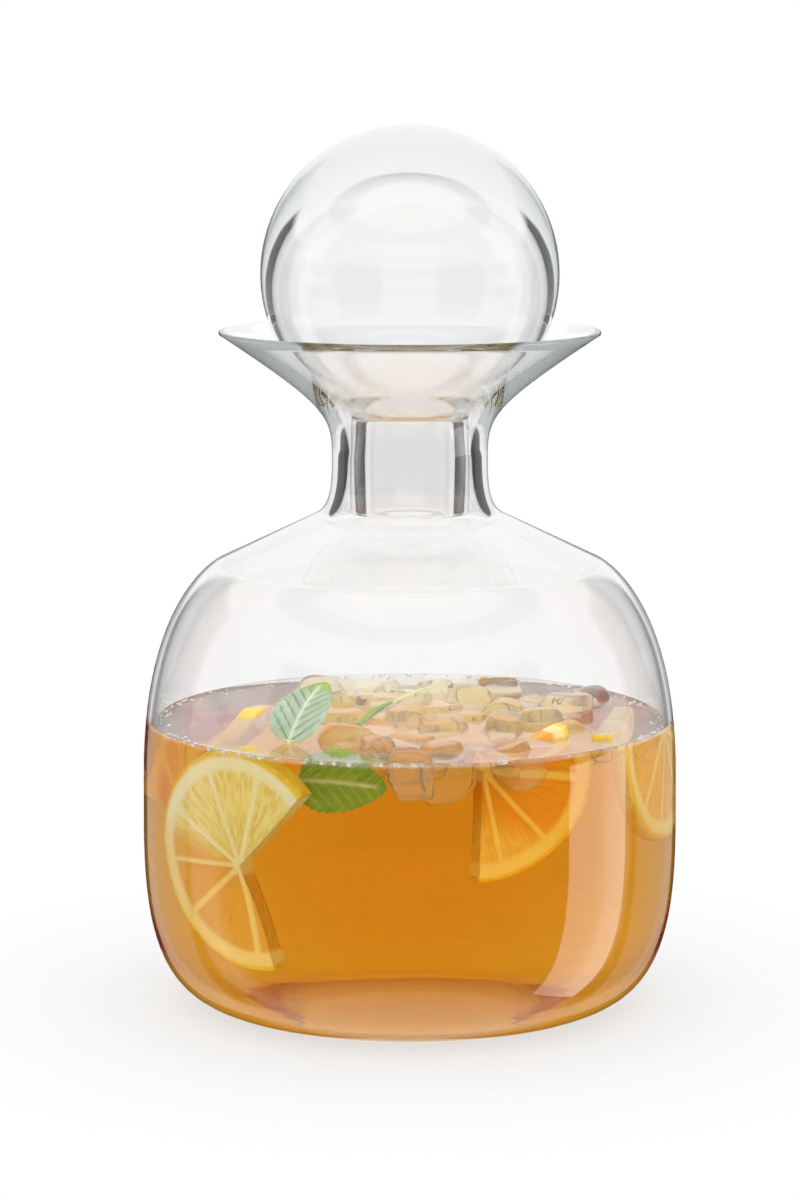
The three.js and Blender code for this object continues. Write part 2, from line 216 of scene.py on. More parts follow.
def glassFinish(look):
    material, tree, shader = newMaterial("clearGlass")
    coords = objectCoords(tree)
    smear = noise(tree, coords, look["smearScale"], detail=2)
    wave = noise(tree, coords, look["waveScale"], detail=1)
    setSockets(tree, shader, {
        "Base Color": plainWhite, "Transmission Weight": 1, "IOR": look["ior"],
        "Roughness": mapRange(tree, smear, *look["smearRange"], 0.0, look["smear"]),
        "Normal": bump(tree, wave, look["waveStrength"], look["waveDepth"]),
    })
    absorb(tree, look)
    return material


# tea: clear amber, coloured by its depth, with a pale film of froth in patches on its surface
teaLook = {
    "ior": 1.333, "through": (0.9445, 0.731, 0.031, 1), "density": 38,
    "rippleScale": 60, "rippleStrength": 0.05, "rippleDepth": 0.001,
    "froth": 0.12, "frothHeights": (0.0747, 0.0751), "frothScale": 90,
    "frothPatch": (0.35, 0.65), "frothSwing": (0.6, 1.4),
}


def teaFinish(look):
    material, tree, shader = newMaterial("amberTea")
    coords = objectCoords(tree)
    ripple = noise(tree, coords, look["rippleScale"], detail=1)
    height = addNode(tree, "ShaderNodeSeparateXYZ", Vector=coords).outputs[2]
    atTop = mapRange(tree, height, *look["frothHeights"], 0, look["froth"])
    patch = mapRange(tree, noise(tree, coords, look["frothScale"]), *look["frothPatch"], *look["frothSwing"])
    froth = maths(tree, "MULTIPLY", atTop, patch)
    setSockets(tree, shader, {
        "Base Color": plainWhite, "IOR": look["ior"], "Roughness": 0,
        "Normal": bump(tree, ripple, look["rippleStrength"], look["rippleDepth"]),
        "Transmission Weight": maths(tree, "SUBTRACT", 1.0, froth),
    })
    absorb(tree, look)
    return material


# ice: clear, a little cloudy, with frosted patches and a melted surface
iceLook = {
    "ior": 1.31, "clear": 0.92, "frostScale": 180, "frostRange": (0.4, 0.65), "frost": (0.02, 0.12),
    "meltScale": 130, "meltStrength": 0.25, "meltDepth": 0.002,
}


def iceFinish(look):
    material, tree, shader = newMaterial("clearIce")
    coords = objectCoords(tree)
    frost = noise(tree, coords, look["frostScale"], detail=4)
    melt = noise(tree, coords, look["meltScale"], detail=2)
    setSockets(tree, shader, {
        "Base Color": plainWhite, "Transmission Weight": look["clear"], "IOR": look["ior"],
        "Roughness": mapRange(tree, frost, *look["frostRange"], *look["frost"]),
        "Normal": bump(tree, melt, look["meltStrength"], look["meltDepth"]),
    })
    return material


# lemon: yellow peel with pores, white pith, and pulp sacs that run out from the core between thin walls, with
# the colour of the tea where the tea has soaked in
lemonLook = {
    "pulpDeep": (0.82, 0.64, 0.14, 1), "pulpPale": (0.95, 0.88, 0.44, 1), "soaked": (0.86, 0.42, 0.03, 1),
    "pith": (0.96, 0.93, 0.74, 1), "pithShade": (0.93, 0.86, 0.58, 1), "pithSoaked": (0.95, 0.72, 0.30, 1),
    "peel": (0.93, 0.66, 0.04, 1), "peelDeep": (0.86, 0.52, 0.02, 1),
    "sacLength": 8, "sacWidth": 22, "sacRange": (0.1, 0.75),
    "patchScale": 140, "patchRange": (0.4, 0.7), "patchShare": 0.5, "poreScale": 900,
    "rough": (0.3, 0.42), "reliefStrength": 0.5, "reliefDepth": 0.0006,
    "glow": 0.2, "glowReach": (1, 0.8, 0.3), "glowScale": 0.004,
}


def lemonFinish(look):
    material, tree, shader = newMaterial("lemonFlesh")
    coords = objectCoords(tree)
    pulp, peel, soak = [attribute(tree, name) for name in ("pulp", "peel", "soak")]
    outward = maths(tree, "MULTIPLY", attribute(tree, "radial"), look["sacLength"])
    around = maths(tree, "MULTIPLY", attribute(tree, "around"), look["sacWidth"])
    sac = cells(tree, addNode(tree, "ShaderNodeCombineXYZ", X=outward, Y=around).outputs[0], 1.0)
    patch = noise(tree, coords, look["patchScale"])
    pores = cells(tree, coords, look["poreScale"])
    sacShare = mapRange(tree, sac, *look["sacRange"], 0, 1)
    patchShare = mapRange(tree, patch, *look["patchRange"], 0, look["patchShare"])
    pulpColor = mixColor(tree, sacShare, look["pulpDeep"], look["pulpPale"])
    pulpColor = mixColor(tree, patchShare, pulpColor, look["pulpPale"])
    pulpColor = mixColor(tree, soak, pulpColor, look["soaked"])
    pithColor = mixColor(tree, patch, look["pith"], look["pithShade"])
    pithColor = mixColor(tree, soak, pithColor, look["pithSoaked"])
    peelColor = mixColor(tree, patch, look["peel"], look["peelDeep"])
    color = mixColor(tree, pulp, pithColor, pulpColor)
    height = maths(tree, "ADD", maths(tree, "MULTIPLY", sac, pulp), maths(tree, "MULTIPLY", pores, peel))
    setSockets(tree, shader, {
        "Base Color": mixColor(tree, peel, color, peelColor),
        "Roughness": mapRange(tree, peel, 0, 1, *look["rough"]),
        "Normal": bump(tree, height, look["reliefStrength"], look["reliefDepth"]),
        "Subsurface Weight": look["glow"], "Subsurface Radius": look["glowReach"],
        "Subsurface Scale": look["glowScale"],
    })
    return material


# mint: green above, pale grey green below with green side veins, a pale midrib and a greener tip; the pale
# underside is partly the leaf's own paler colour and partly a painted sheen of reflected light, which fades
# out at the tip
mintLook = {
    "upper": (0.13, 0.27, 0.02, 1), "upperPale": (0.36, 0.49, 0.05, 1), "veinUpper": (0.46, 0.58, 0.15, 1),
    # the underside greens are pale partly by the leaf's own colour and partly by a painted sheen of reflected
    # light, against which its dark veins stand out
    "lower": (0.22, 0.32, 0.17, 1), "lowerPale": (0.54, 0.60, 0.50, 1), "veinLower": (0.07, 0.17, 0.03, 1),
    "midrib": (0.62, 0.68, 0.50, 1), "stem": (0.60, 0.70, 0.32, 1), "veinShare": 0.8, "patchScale": 260,
    "rough": (0.38, 0.6), "grainScale": 1500, "grainStrength": 0.4, "grainDepth": 0.0003,
    "glow": 0.3, "glowReach": (0.5, 1, 0.2), "glowScale": 0.001,
}


def mintFinish(look):
    material, tree, shader = newMaterial("mintGreen")
    coords = objectCoords(tree)
    # the pale underside colour is partly the leaf's own and partly a painted sheen of reflected light, faded
    # out towards the tip
    under = maths(tree, "MULTIPLY", attribute(tree, "under"), attribute(tree, "frostAndSheen"))
    patch = noise(tree, coords, look["patchScale"], detail=4)
    grain = noise(tree, coords, look["grainScale"], detail=2)
    upper = mixColor(tree, patch, look["upper"], look["upperPale"])
    lower = mixColor(tree, patch, look["lower"], look["lowerPale"])
    leaf = mixColor(tree, under, upper, lower)
    veinColor = mixColor(tree, under, look["veinUpper"], look["veinLower"])
    veinShare = maths(tree, "MULTIPLY", attribute(tree, "vein"), look["veinShare"])
    color = mixColor(tree, veinShare, leaf, veinColor)
    color = mixColor(tree, attribute(tree, "midrib"), color, look["midrib"])
    setSockets(tree, shader, {
        "Base Color": mixColor(tree, attribute(tree, "stem"), color, look["stem"]),
        "Roughness": mapRange(tree, patch, 0, 1, *look["rough"]),
        "Normal": bump(tree, grain, look["grainStrength"], look["grainDepth"]),
        "Subsurface Weight": look["glow"], "Subsurface Radius": look["glowReach"],
        "Subsurface Scale": look["glowScale"],
    })
    return material


# bubbles: thin pale foam
foamLook = {
    "pale": (1, 0.97, 0.90, 1), "paler": (1, 0.99, 0.96, 1), "scale": 400,
    "clear": 0.25, "ior": 1.2, "rough": 0.15,
}


def foamFinish(look):
    material, tree, shader = newMaterial("foamBubble")
    shade = noise(tree, objectCoords(tree), look["scale"], detail=1)
    setSockets(tree, shader, {
        "Base Color": mixColor(tree, shade, look["pale"], look["paler"]),
        "Transmission Weight": look["clear"], "IOR": look["ior"], "Roughness": look["rough"],
    })
    return material


clearGlass = glassFinish(glassLook)
amberTea = teaFinish(teaLook)
clearIce = iceFinish(iceLook)
lemonFlesh = lemonFinish(lemonLook)
mintGreen = mintFinish(mintLook)
foamBubble = foamFinish(foamLook)
print("finishes made")


# Carafe body: five curves from the foot to the rim, and the inside of the glass at its thickness below them

carafe = {
    "footRadius": 48, "puntRadius": 38, "puntRise": 1.6, "heelReach": 26,
    "widestRadius": 71, "widestHeight": 60, "lowerSideReach": 22, "upperSideReach": 44,
    "shoulderRadius": 50.8, "shoulderRise": 57.8, "shoulderSlope": 25.6, "shoulderTurnReach": 4,
    "neckFootRadius": 24.8, "neckFootReach": 4.9,
    "neckRadius": 20.6, "neckRise": 16.2, "neckLowerReach": 6, "neckUpperReach": 10,
    "rimRadius": 50, "rimRise": 31.2, "funnelSlope": 34, "funnelReach": 32,
    "baseWall": 5, "sideWall": 2.2, "shoulderWall": 2.4, "neckFootWall": 3.4, "neckWall": 4.3, "lipWall": 1.1,
    "segments": 160, "steps": 26, "baseRows": 14, "footRows": 5, "lipRows": 9,
}


# the outline from foot to rim: each curve's points, moved in along the normal by share * wall + gap
def bodyOutline(body, share, gap=0.0):
    slope, flare = np.radians(body["shoulderSlope"]), np.radians(body["funnelSlope"])
    up = np.array([0.0, 1.0])
    inward = np.array([-np.cos(slope), np.sin(slope)])
    outward = np.array([np.cos(flare), np.sin(flare)])
    foot = np.array([body["footRadius"], 0.0])
    heel = foot + [body["heelReach"], 0]
    widest = np.array([body["widestRadius"], body["widestHeight"]])
    shoulder = np.array([body["shoulderRadius"], body["widestHeight"] + body["shoulderRise"]])
    shoulderStart = shoulder - inward * body["shoulderTurnReach"]
    neckFoot = shoulder + inward * (body["shoulderRadius"] - body["neckFootRadius"]) / np.cos(slope)
    third = (neckFoot - shoulder) / 3
    waist = np.array([body["neckRadius"], neckFoot[1] + body["neckRise"]])
    rim = np.array([body["rimRadius"], waist[1] + body["rimRise"]])
    lowerSide, upperSide = widest - up * body["lowerSideReach"], widest + up * body["upperSideReach"]
    neckTurn, neckLower = neckFoot + inward * body["neckFootReach"], waist - up * body["neckLowerReach"]
    neckUpper, funnel = waist + up * body["neckUpperReach"], rim - outward * body["funnelReach"]
    curves = [
        ((foot, heel, lowerSide, widest), "baseWall", "sideWall"),
        ((widest, upperSide, shoulderStart, shoulder), "sideWall", "shoulderWall"),
        ((shoulder, shoulder + third, neckFoot - third, neckFoot), "shoulderWall", "neckFootWall"),
        ((neckFoot, neckTurn, neckLower, waist), "neckFootWall", "neckWall"),
        ((waist, neckUpper, funnel, rim), "neckWall", "lipWall"),
    ]
    rows = []
    for corners, wallStart, wallEnd in curves:
        point, direction, t = cubic(corners, body["steps"])
        depth = share * (body[wallStart] * (1 - t) + body[wallEnd] * t) + gap
        normal = np.stack([-direction[:, 1], direction[:, 0]], 1)
        rows.append((point + depth * normal)[1 if rows else 0:])
    return np.concatenate(rows)


# the base rises towards the axis as half a cosine wave
def domeRise(body, radius, reach):
    return body["puntRise"] * 0.5 * (1 + np.cos(np.pi * radius / reach))


# the floor inside the glass: the base's wall, plus gap, above the dome
def insideBase(body, gap=0.0):
    radius = np.linspace(0, body["footRadius"] - gap, body["baseRows"], endpoint=False)
    return np.stack([radius, body["baseWall"] + gap + domeRise(body, radius, body["footRadius"])], 1)


# out under the dome and the flat foot, up the outside, over the lip on half a circle and down the inside
def bodyProfile(body):
    outside, inside = bodyOutline(body, 0), bodyOutline(body, 1)
    radius = np.linspace(0, body["puntRadius"], body["baseRows"])
    under = np.stack([radius, domeRise(body, radius, body["puntRadius"])], 1)
    ring = np.linspace(body["puntRadius"], body["footRadius"], body["footRows"])[1:-1]
    flat = np.stack([ring, np.zeros_like(ring)], 1)
    middle, across = (outside[-1] + inside[-1]) / 2, (outside[-1] - inside[-1]) / 2
    over = np.array([-across[1], across[0]])
    angle = np.linspace(0, np.pi, body["lipRows"])[1:-1, None]
    lip = middle + across * np.cos(angle) + over * np.sin(angle)
    return np.concatenate([under, flat, outside, lip, inside[::-1], insideBase(body)[::-1]])


glassMesh = buildMesh("glass_body", *turn(bodyProfile(carafe), carafe["segments"]))
addPiece("glass_body", glassMesh, clearGlass, "carafe_body")
print("carafe body made", len(glassMesh.polygons))


# Ball stopper: a ball, its hollow with the wall thickening to the crown, and an open stem

stopper = {
    "ballRadius": 39.2, "ballWall": 1.6, "crownWall": 9, "crownFade": 2.2,
    "stemClearance": 0.6, "stemWall": 4.1, "stemLength": 28, "stemFillet": 2.5,
    "edgeRound": 1.1, "throatRound": 6.0, "throatReach": 8.0, "segments": 144,
    "ballRows": 90, "filletRows": 9, "stemRows": 12, "edgeRows": 7,
    "searchRows": 2000, "hollowRows": 90, "boreRows": 40, "evenRows": 400, "keepEvery": 3,
}


# the hollow's reach at an angle from straight up: radius - wall - extra * ((1 + cos angle) / 2) ^ fade
def hollowReach(ball, angle):
    extra = (ball["crownWall"] - ball["ballWall"]) * ((1 + np.cos(angle)) / 2) ** ball["crownFade"]
    return ball["ballRadius"] - ball["ballWall"] - extra


# the hollow and the bore at even steps, averaged with their neighbours near the throat, where the two meet
def stopperInside(ball, ballHeight, bore, bottom):
    angle = np.linspace(0, np.pi, ball["searchRows"])
    withinBore = hollowReach(ball, angle) * np.sin(angle) < bore
    throatAngle = angle[(angle > np.pi / 2) & withinBore][0]
    angle = np.linspace(0, throatAngle, ball["hollowRows"])
    reach = hollowReach(ball, angle)
    hollow = np.stack([reach * np.sin(angle), ballHeight + reach * np.cos(angle)], 1)
    boreHeights = np.linspace(hollow[-1, 1], bottom, ball["boreRows"] + 1)[1:]
    line = np.concatenate([hollow, np.stack([np.full_like(boreHeights, bore), boreHeights], 1)])
    gone = np.concatenate([[0], np.cumsum(np.linalg.norm(np.diff(line, axis=0), axis=1))])
    even = np.linspace(0, gone[-1], ball["evenRows"])
    evenLine = np.stack([np.interp(even, gone, line[:, 0]), np.interp(even, gone, line[:, 1])], 1)
    half = int(ball["throatRound"] / (even[1] * 2))
    weight = np.hanning(2 * half + 3)[1:-1]
    padded = np.pad(evenLine, ((half, half), (0, 0)), mode="edge")
    rounded = np.stack([np.convolve(padded[:, k], weight / weight.sum(), "valid") for k in (0, 1)], 1)
    fromThroat = np.abs(even - gone[len(hollow) - 1])
    nearThroat = smoothStep(ball["throatReach"], ball["throatReach"] / 2, fromThroat)[:, None]
    inside = (evenLine * (1 - nearThroat) + rounded * nearThroat)[::ball["keepEvery"]]
    inside[0, 0] = 0
    return inside


# the ball's circle, a fillet into the stem, the stem, its rounded end, and back up the inside
def stopperProfile(ball, body):
    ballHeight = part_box("ball_stopper")[1][2] / mm - ball["ballRadius"]
    stemRadius = body["neckRadius"] - body["neckWall"] - ball["stemClearance"]
    bore = stemRadius - ball["stemWall"]
    stemBottom = ballHeight - np.sqrt(ball["ballRadius"] ** 2 - stemRadius ** 2) - ball["stemLength"]
    fillet, edge = ball["stemFillet"], ball["edgeRound"]
    edgeHeight = stemBottom + edge
    filletOut = stemRadius + fillet
    filletAngle = np.pi - np.arcsin(filletOut / (ball["ballRadius"] + fillet))
    filletHeight = ballHeight - np.sqrt((ball["ballRadius"] + fillet) ** 2 - filletOut ** 2)
    stemHeights = np.linspace(filletHeight, edgeHeight, ball["stemRows"] + 1)[1:]
    return np.concatenate([
        arc((0, ballHeight), ball["ballRadius"], 0, filletAngle, ball["ballRows"]),
        arc((filletOut, filletHeight), fillet, filletAngle - np.pi, -np.pi / 2, ball["filletRows"])[1:],
        np.stack([np.full_like(stemHeights, stemRadius), stemHeights], 1),
        arc((stemRadius - edge, edgeHeight), edge, np.pi / 2, np.pi, ball["edgeRows"])[1:],
        arc((bore + edge, edgeHeight), edge, np.pi, 1.5 * np.pi, ball["edgeRows"]),
        stopperInside(ball, ballHeight, bore, edgeHeight)[::-1],
    ])


ballMesh = buildMesh("glass_ball_stopper", *turn(stopperProfile(stopper, carafe), stopper["segments"]))
addPiece("glass_ball_stopper", ballMesh, clearGlass, "ball_stopper", body="stopper")
print("ball stopper made", len(ballMesh.polygons))


# Ice: each lump stands where its CAD node does

ice = {
    "side": 15, "depth": 15.5, "lean": 9, "fill": 0.985, "softness": 4, "flats": 16, "sharpness": 16,
    "flatDepth": (0.8, 0.99), "sizeMiddle": 0.94, "sizeSwing": 0.06, "sizeStep": 1.7,
    "leanStep": 3.3, "leanStart": 1, "turnStep": 137, "seed": 100, "rows": 36, "columns": 56,
}


# a lump's reach along d is the sum over its flats of (max(0, n . d) / depth) ^ sharpness, to the power of
# -1 / sharpness; it is then leaned, turned and sized to the box of its node
def iceLump(lump, count, shrink=0.0):
    chance = np.random.default_rng(lump["seed"] + count)
    low, high = [np.array(corner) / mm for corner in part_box(f"ice_cube_{count + 1}")]
    direction = ballDirections(lump["rows"], lump["columns"])
    normal = np.concatenate([np.eye(3), -np.eye(3), chance.normal(size=(lump["flats"], 3))])
    normal /= np.linalg.norm(normal, axis=1, keepdims=True)
    dual = lump["softness"] / (lump["softness"] - 1)
    depth = (np.abs(normal) ** dual).sum(1) ** (1 / dual)
    depth[-lump["flats"]:] *= chance.uniform(*lump["flatDepth"], lump["flats"])
    facing = np.clip(direction @ normal.T, 0, None) / depth
    reach = (facing ** lump["sharpness"]).sum(-1) ** (-1 / lump["sharpness"])
    width = lump["side"] * (lump["sizeMiddle"] + lump["sizeSwing"] * np.sin(lump["sizeStep"] * count))
    size = np.array([width, width, lump["depth"]])
    points = (direction * reach[..., None] * size / 2).reshape(-1, 3)
    points = turnAbout(points, 0, lump["lean"] * np.sin(lump["leanStep"] * count + lump["leanStart"]))
    points = turnAbout(points, 2, lump["turnStep"] * count)
    span = points.max(0) - points.min(0)
    points = points - (points.max(0) + points.min(0)) / 2
    points = points * (np.min((high - low) / span) * lump["fill"] - 2 * shrink / span.max())
    return points + (low + high) / 2, gridQuads(lump["rows"], lump["columns"], wrapColumns=True)


iceCount = sum(name.startswith("ice_cube_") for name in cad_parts)
for k in range(iceCount):
    iceMesh = buildMesh(f"ice_lump_{k + 1}", *iceLump(ice, k))
    addPiece(f"ice_lump_{k + 1}", iceMesh, clearIce, f"ice_cube_{k + 1}")
print("ice made", iceCount)


# Tea: fills the inside a hair into the glass, so no air shows between, with its edge drawn up the wall

tea = {
    "level": 75.3, "drop": 0.1, "overlap": 0.12, "edgeRise": 0.8, "edgeReach": 1.3, "gap": 0.35,
    "iceOverlap": 0.1, "topGap": 0.2, "edgeFrom": 0.15, "edgeTo": 14, "edgeRows": 22, "middleRows": 12,
    "segments": 144, "sharpAngle": 30,
}


# the surface stands above the level by edgeRise * exp(-distance from the wall / edgeReach)
def teaTop(drink, fromWall):
    return drink["level"] - drink["drop"] + drink["edgeRise"] * np.exp(-fromWall / drink["edgeReach"])


# out along the floor of the glass, up its wall to the drawn-up edge, and back over the surface to the axis
def teaProfile(drink, body):
    wall = bodyOutline(body, 1, -drink["overlap"])[:2 * body["steps"] - 1]
    top = teaTop(drink, 0)
    wallRadius = np.interp(top, wall[:, 1], wall[:, 0])
    side = np.concatenate([wall[wall[:, 1] < top - drink["topGap"]], [[wallRadius, top]]])
    nearWall = np.geomspace(drink["edgeFrom"], drink["edgeTo"], drink["edgeRows"])
    toMiddle = np.linspace(drink["edgeTo"], wallRadius, drink["middleRows"])[1:]
    away = np.concatenate([nearWall, toMiddle])
    surface = np.stack([wallRadius - away, teaTop(drink, away)], 1)
    surface[-1, 0] = 0
    return np.concatenate([insideBase(body, -drink["overlap"]), side, surface])


# the mesh less what the cutters fill
def cutOut(mesh, cutters):
    block = bpy.data.objects.new("teaBlock", mesh)
    tool = bpy.data.objects.new("iceTool", cutters)
    for item in (block, tool):
        bpy.context.collection.objects.link(item)
    cut = block.modifiers.new("cut", "BOOLEAN")
    cut.object, cut.operation, cut.solver = tool, "DIFFERENCE", "EXACT"
    result = bpy.data.meshes.new_from_object(block.evaluated_get(bpy.context.evaluated_depsgraph_get()))
    for item in (block, tool):
        bpy.data.objects.remove(item)
    return result


lumps = [iceLump(ice, k, shrink=tea["iceOverlap"]) for k in range(iceCount)]
lumpSize = len(lumps[0][0])
toolPoints = np.concatenate([points for points, quads in lumps])
toolQuads = np.concatenate([quads + lumpSize * k for k, (points, quads) in enumerate(lumps)])
teaBlock = buildMesh("tea_block", *turn(teaProfile(tea, carafe), tea["segments"]))
teaMesh = cutOut(teaBlock, buildMesh("ice_tool", toolPoints, toolQuads))
teaMesh.name = "amber_tea"
teaMesh.shade_smooth()
teaMesh.set_sharp_from_angle(angle=np.radians(tea["sharpAngle"]))
addPiece("amber_tea", teaMesh, amberTea, "iced_tea")
print("tea made", len(teaMesh.polygons))


# Lemon: the slices stand on chords across the drink, set in from its side

lemon = {
    "radius": 28.5, "thickness": 5.5, "segments": 9, "peel": 0.955, "pith": 0.84, "core": 2.2, "wall": 0.42,
    "edgeRound": 1.3, "sunk": 0.45, "waver": (0.16, 0.1),
    "cornerShare": 0.8, "pulpFade": 0.7, "peelFade": 0.012,
    "rippleDepth": 0.12, "rippleTurns": 61, "turnSway": (3, 0.9), "rippleOut": 1.3, "outSway": (5, 7),
    "cutCore": (0.08, 0.12), "cutPithFade": 0.03, "cutTurn": 0.3,
    "soakLean": 0.35, "foldHeights": (2, -14), "foldLean": 0.25,
    "faceRows": 46, "edgeRows": 6, "columns": 200, "capColumns": 7, "sharpAngle": 50,
}
slices = {
    "lemon_slice_front": {"span": (44.7, 286.2), "core": (-0.6, -1.3), "bearing": -42.5, "shift": 0,
                          "height": 47, "lean": 6, "chord": (28.5, 47), "setIn": 3.75, "first": 0.3,
                          "fold": 2, "soak": (0.05, 0.85), "soakHeights": (4, -6)},
    "lemon_third_slice": {"span": (268, 378), "core": (0, 0), "bearing": 27.6, "shift": -3.6, "height": 69.3,
                          "lean": 0, "chord": (0, 75.3), "setIn": 27.4, "first": 0.1, "fold": 0,
                          "soak": (1, 0.45), "soakHeights": (-7, -18)},
    "lemon_half_slice_right": {"span": (172, 352), "core": (0, 0), "bearing": 80, "shift": 7, "height": 72.3,
                               "lean": -4, "chord": (35.5, 43.8), "setIn": 3.75, "first": 0.6, "fold": 0,
                               "soak": (0.45, 0.6), "soakHeights": (4, -6)},
    "lemon_slice_left": {"span": (0, 180), "core": (0, 0), "bearing": -100, "shift": 0, "height": 47.8,
                         "lean": 0, "chord": (28.5, 75.3), "setIn": 18, "first": 0.2, "fold": 0,
                         "soak": (0.5, 0.8), "soakHeights": (4, -6)},
}


# the drink's radius at a height
def wallAt(height):
    wall = bodyOutline(carafe, 1, tea["gap"])[:2 * carafe["steps"]]
    return np.interp(height, wall[:, 1], wall[:, 0])


# how far out a slice stands: its chord's distance from the axis, less what it is set in by
def sliceOut(place):
    halfWidth, height = place["chord"]
    return np.sqrt(min(wallAt(tea["level"]), wallAt(height)) ** 2 - halfWidth ** 2) - place["setIn"]


# from a slice's own axes to its place: x sideways, y up and z outward at its bearing
def standSlice(points, place):
    bearing = np.radians(place["bearing"])
    outward = np.array([np.sin(bearing), -np.cos(bearing), 0])
    sideways = np.array([np.cos(bearing), np.sin(bearing), 0])
    up = np.array([0, 0, 1.0])
    points = turnAbout(points, 0, place["lean"])
    points = points[:, :1] * sideways + points[:, 1:2] * up + points[:, 2:] * outward
    return points + outward * sliceOut(place) + sideways * place["shift"] + up * place["height"]


# a slice's rows, as a share of the way out and a height: over one face, round the edge on two quarter
# circles and back over the other face
def sliceRows(fruit):
    halfThick = fruit["thickness"] / 2
    rounding = np.linspace(0, np.pi / 2, fruit["edgeRows"] + 1)[1:]
    inner = 1 - fruit["edgeRound"] / fruit["radius"]
    share = np.concatenate([np.linspace(0, inner, fruit["faceRows"]), inner + (1 - inner) * np.sin(rounding)])
    edge = halfThick - fruit["edgeRound"] * (1 - np.cos(rounding))
    side = np.concatenate([np.full(fruit["faceRows"], halfThick), edge])
    return np.concatenate([share, share[::-1]])[:, None], np.concatenate([side, -side[::-1]])[:, None]


# 1 in the pulp, which fades in with the distance from the nearest of segment wall, core, pith and corner
def pulpMask(fruit, place, seed, share, angle, edgeReach):
    radius = share * edgeReach
    waver = fruit["waver"][0] * np.sin(2 * angle + seed) + fruit["waver"][1] * np.sin(3 * angle + 2 * seed)
    turnCount = angle * fruit["segments"] / (2 * np.pi) + place["first"] + waver
    turnsFromWall = np.abs(turnCount - np.round(turnCount))
    fromWall = turnsFromWall * 2 * np.pi / fruit["segments"] * radius - fruit["wall"]
    fromPith = (fruit["pith"] - share) * edgeReach
    corner = np.sqrt(np.clip(fromWall, 0, None) * np.clip(fromPith, 0, None)) * fruit["cornerShare"]
    nearest = np.minimum(np.minimum(fromWall, fromPith), np.minimum(radius - fruit["core"], corner))
    return smoothStep(0.0, fruit["pulpFade"], nearest)


# 1 in the peel, which starts at its share of the way out
def peelMask(fruit, share):
    return smoothStep(fruit["peel"] - fruit["peelFade"], fruit["peel"] + fruit["peelFade"], share)


# the sacs' relief: a sine round the slice times a sine outward, each swayed by a sine of the other's way
def sacRipple(fruit, radius, angle):
    turnSway, swayOut = fruit["turnSway"]
    outSway, swayTurns = fruit["outSway"]
    roundWave = np.sin(angle * fruit["rippleTurns"] + turnSway * np.sin(radius * swayOut))
    outWave = np.sin(radius * fruit["rippleOut"] + outSway * np.sin(angle * swayTurns))
    return fruit["rippleDepth"] * roundWave * outWave


# a cut face runs straight across from one face of the slice to the other, at its first or last column
def cutFace(fruit, sweep, share, column):
    half = len(share) // 2
    across = np.linspace(0, 1, fruit["capColumns"])[None, :, None]
    flat = sweep[:half, None, column] * (1 - across) + sweep[::-1][:half, None, column] * across
    radial = np.repeat(share[:half], fruit["capColumns"], 1)
    pulp = smoothStep(*fruit["cutCore"], radial)
    pulp = pulp * smoothStep(fruit["pith"], fruit["pith"] - fruit["cutPithFade"], radial)
    around = np.broadcast_to(across[..., 0] * fruit["cutTurn"], radial.shape) + column
    return flat, {"radial": radial, "around": around, "pulp": pulp, "peel": peelMask(fruit, radial)}


# a slice is its rows carried round its core, out to a circle about the middle of the slice. Its faces sink
# where the pulp is, and it soaks in tea and folds back by the height
def lemonSlice(fruit, place, seed):
    around = np.linspace(*np.radians(place["span"]), fruit["columns"])
    core = np.array(place["core"], float)
    aside = core[0] * np.cos(around) + core[1] * np.sin(around)
    edgeReach = np.sqrt(fruit["radius"] ** 2 - core @ core + aside ** 2) - aside  # core to circle
    share, side = sliceRows(fruit)
    radius = share * edgeReach
    angle = np.broadcast_to(around, radius.shape)
    pulp = pulpMask(fruit, place, seed, share, angle, edgeReach)
    height = side - np.sign(side) * pulp * (fruit["sunk"] + sacRipple(fruit, radius, angle))
    sweep = np.stack([core[0] + radius * np.cos(angle), core[1] + radius * np.sin(angle), height], -1)
    radial, peel = [np.broadcast_to(rows, radius.shape) for rows in (share, peelMask(fruit, share))]
    grids = [(sweep, {"radial": radial, "around": angle, "pulp": pulp, "peel": peel})]
    grids += [cutFace(fruit, sweep, share, column) for column in (0, -1)]
    points = np.concatenate([grid.reshape(-1, 3) for grid, masks in grids])
    starts = np.cumsum([0] + [grid.shape[0] * grid.shape[1] for grid, masks in grids])
    quads = [gridQuads(*grid.shape[:2], first=start) for (grid, masks), start in zip(grids, starts)]
    masks = {key: np.concatenate([masks[key].reshape(-1) for grid, masks in grids]) for key in grids[0][1]}
    up = points[:, 1] - core[1]
    low = smoothStep(*place["soakHeights"], up + fruit["soakLean"] * points[:, 0])
    masks["soak"] = place["soak"][0] * (1 - low) + place["soak"][1] * low
    points[:, 2] -= place["fold"] * smoothStep(*fruit["foldHeights"], up + fruit["foldLean"] * points[:, 0])
    return standSlice(points, place), np.concatenate(quads), masks


for k, (node, place) in enumerate(slices.items()):
    sliceMesh = buildMesh(f"{node}_cut", *lemonSlice(lemon, place, k + 1), sharpAngle=lemon["sharpAngle"])
    addPiece(f"{node}_cut", sliceMesh, lemonFlesh, node)
print("lemon made", len(slices))


# Mint: three leaves, each set in from the drink's side

